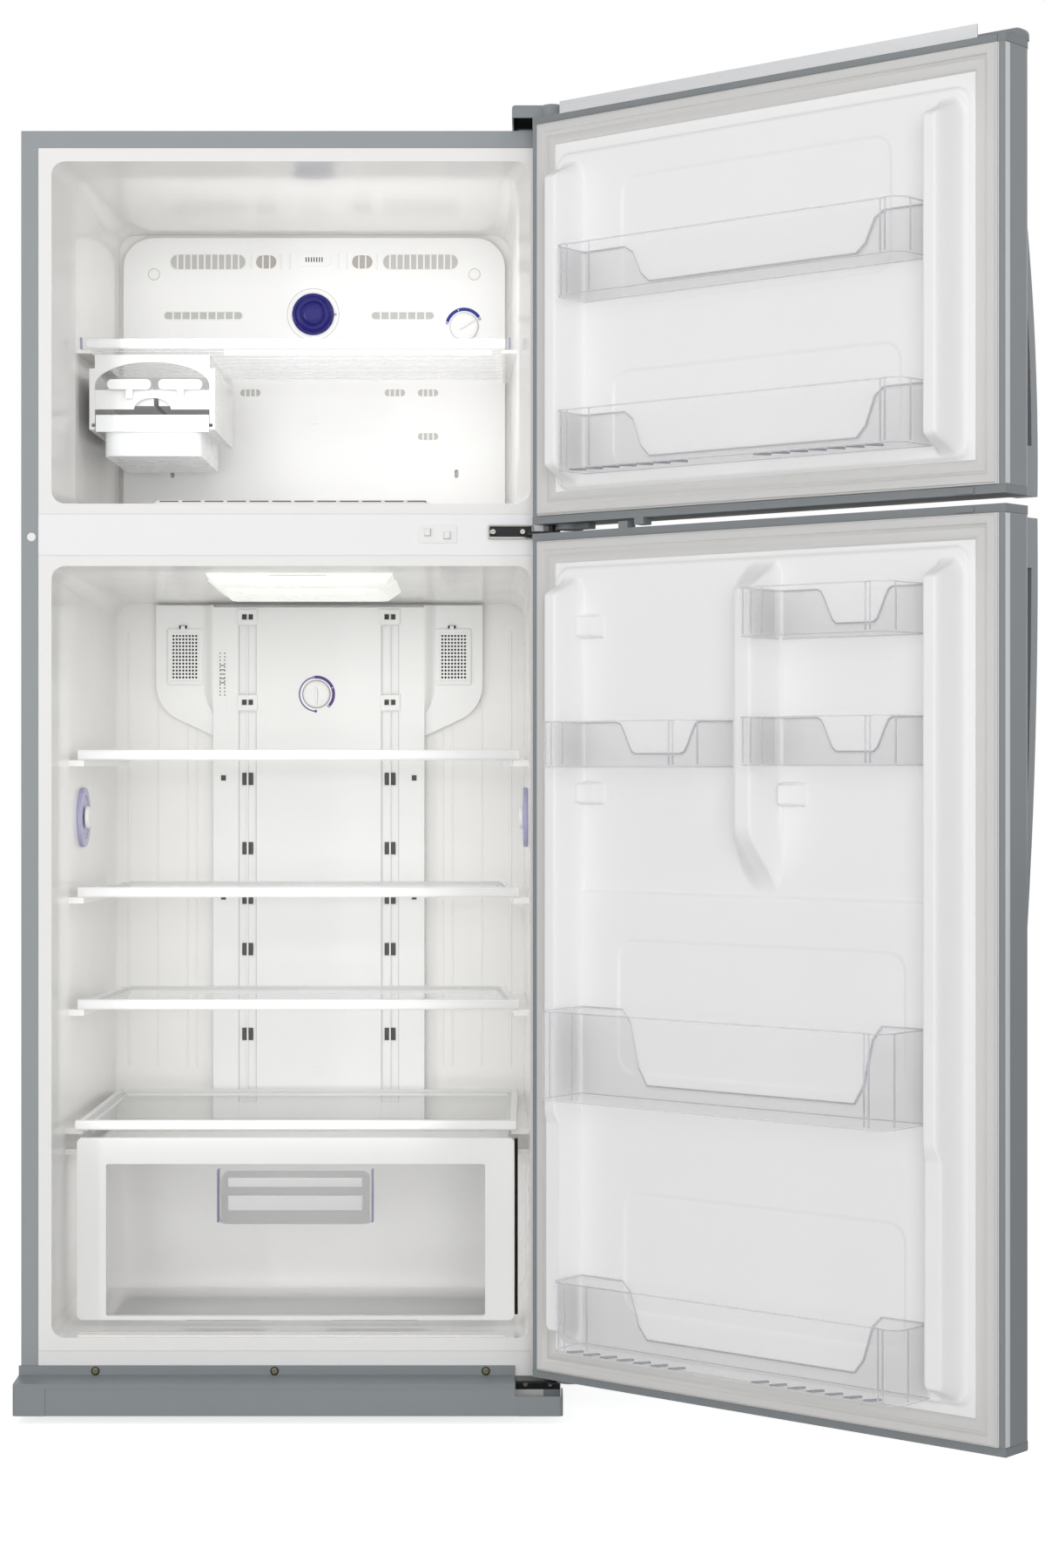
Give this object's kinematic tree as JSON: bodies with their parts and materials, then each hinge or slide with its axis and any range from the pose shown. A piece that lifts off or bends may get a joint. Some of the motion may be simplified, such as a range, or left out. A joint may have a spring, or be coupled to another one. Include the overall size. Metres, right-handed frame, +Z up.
{
  "type": "top mount refrigerator",
  "caption": "Tall upright refrigerator with a small freezer door above a large fridge door, shelves, door bins, a crisper drawer and a twist ice maker.",
  "frame": {"origin": "on the floor, under the middle of the cabinet's front face", "axes": "+Z up; +Y from the front to the back of the cabinet; +X to the viewer's right, the hinge side"},
  "size_m": [1.3798, 1.2246, 1.862],
  "materials": {
    "side_paint": "satin",
    "back_sheet": "matte",
    "foam": "matte",
    "white_liner": "gloss",
    "white_plastic": "satin",
    "flange_paint": "satin",
    "dark_steel": "satin",
    "base_steel": "satin",
    "grey_plastic": "satin",
    "dark_grey_plastic": "satin",
    "zinc": "satin",
    "foot_plastic": "matte",
    "compressor_black": "satin",
    "fin_aluminium": "satin",
    "blue_plastic": "gloss",
    "clear_plastic": "gloss",
    "frost_plastic": "gloss",
    "shelf_pane": "gloss",
    "lamp_diffuser": "gloss",
    "lamp_board": "matte",
    "lavender_plastic": "satin",
    "gasket_rubber": "matte",
    "door_paint": "satin",
    "handle_silver": "satin",
    "roller_plastic": "matte"
  },
  "bodies": {
    "cabinet": {"cabinet_wrapper": "side_paint", "back_panel": "back_sheet", "cabinet_foam": "foam", "freezer_liner": "white_liner", "fridge_liner": "white_liner", "mullion_cover": "flange_paint", "base_frame": "base_steel", "kick_plate": "grey_plastic", "screws": "zinc", "levelling_feet": "foot_plastic", "compressor": "compressor_black", "machine_cover": "back_sheet", "evaporator": "fin_aluminium", "fan_motor": "dark_steel", "top_hinge": "base_steel", "top_hinge_cover": "grey_plastic", "middle_hinge": "dark_steel", "bottom_hinge": "dark_steel", "cap_plugs": "white_plastic", "switch_housing": "white_plastic", "freezer_back_panel": "white_plastic", "air_outlet_cap": "blue_plastic", "freezer_shelf": "clear_plastic", "ice_maker_frame": "white_plastic", "duct_panel": "white_plastic", "filter_covers": "white_plastic", "lamp_cover": "lamp_diffuser", "lamp": "lamp_board", "side_discs": "lavender_plastic", "shelf_frames": "clear_plastic", "shelf_glass": "shelf_pane", "crisper_cover": "white_plastic", "crisper_glass": "shelf_pane"},
    "crisper": {"crisper_drawer": "clear_plastic", "crisper_front": "white_plastic"},
    "freezer_dial": {"freezer_dial": "white_plastic"},
    "fridge_dial": {"fridge_dial": "white_plastic"},
    "freezer_switch_button": {"freezer_switch_button": "white_plastic"},
    "fridge_switch_button": {"fridge_switch_button": "white_plastic"},
    "fan": {"fan_blades": "white_plastic"},
    "roller_left": {"roller_left": "roller_plastic"},
    "roller_right": {"roller_right": "roller_plastic"},
    "ice_tray_left": {"ice_tray_left": "white_plastic"},
    "ice_tray_right": {"ice_tray_right": "white_plastic"},
    "ice_bin": {"ice_bin": "frost_plastic"},
    "freezer_door": {"freezer_door_skin": "door_paint", "freezer_door_foam": "foam", "freezer_door_liner": "white_liner", "freezer_door_gasket": "gasket_rubber", "freezer_door_handle": "handle_silver", "freezer_door_caps": "dark_grey_plastic", "freezer_door_bins": "clear_plastic"},
    "fridge_door": {"fridge_door_skin": "door_paint", "fridge_door_foam": "foam", "fridge_door_liner": "white_liner", "fridge_door_gasket": "gasket_rubber", "fridge_door_handle": "handle_silver", "fridge_door_caps": "dark_grey_plastic", "fridge_door_small_bins": "clear_plastic", "fridge_door_wide_bins": "clear_plastic"}
  },
  "joints": [
    {"name": "freezer_door_hinge", "type": "hinge", "parent": "cabinet", "child": "freezer_door", "pos_m": [0.373, -0.0365, 1.55], "axis": [0, 0, 1], "range_deg": [-139.8, 0]},
    {"name": "fridge_door_hinge", "type": "hinge", "parent": "cabinet", "child": "fridge_door", "pos_m": [0.373, -0.0365, 0.66], "axis": [0, 0, 1], "range_deg": [-139.8, 0]},
    {"name": "crisper_slide", "type": "slide", "parent": "cabinet", "child": "crisper", "axis": [0, -1, 0], "range_m": [0, 0.26]},
    {"name": "ice_bin_slide", "type": "slide", "parent": "cabinet", "child": "ice_bin", "axis": [0, -1, 0], "range_m": [0, 0.23]},
    {"name": "ice_tray_left_twist", "type": "hinge", "parent": "cabinet", "child": "ice_tray_left", "pos_m": [-0.245, 0.24, 1.47], "axis": [0, 1, 0], "range_deg": [0, 130], "stiffness_Nm_per_rad": 0.02},
    {"name": "ice_tray_right_twist", "type": "hinge", "parent": "cabinet", "child": "ice_tray_right", "pos_m": [-0.17, 0.24, 1.47], "axis": [0, 1, 0], "range_deg": [0, 130], "stiffness_Nm_per_rad": 0.02},
    {"name": "freezer_dial_turn", "type": "hinge", "parent": "cabinet", "child": "freezer_dial", "pos_m": [0.237, 0.455, 1.622], "axis": [0, 1, 0], "range_deg": [-100, 100]},
    {"name": "fridge_dial_turn", "type": "hinge", "parent": "cabinet", "child": "fridge_dial", "pos_m": [-0.0036, 0.556, 1.0437], "axis": [0, 1, 0], "range_deg": [-100, 100]},
    {"name": "freezer_switch_press", "type": "slide", "parent": "cabinet", "child": "freezer_switch_button", "axis": [0, 1, 0], "range_m": [0, 0.004], "stiffness_N_per_m": 150},
    {"name": "fridge_switch_press", "type": "slide", "parent": "cabinet", "child": "fridge_switch_button", "axis": [0, 1, 0], "range_m": [0, 0.004], "stiffness_N_per_m": 150},
    {"name": "fan_spin", "type": "hinge", "parent": "cabinet", "child": "fan", "pos_m": [0, 0.511, 1.69], "axis": [0, 1, 0], "continuous": true},
    {"name": "roller_left_spin", "type": "hinge", "parent": "cabinet", "child": "roller_left", "pos_m": [-0.352, 0.59, 0.02], "axis": [1, 0, 0], "continuous": true},
    {"name": "roller_right_spin", "type": "hinge", "parent": "cabinet", "child": "roller_right", "pos_m": [0.352, 0.59, 0.02], "axis": [1, 0, 0], "continuous": true}
  ]
}
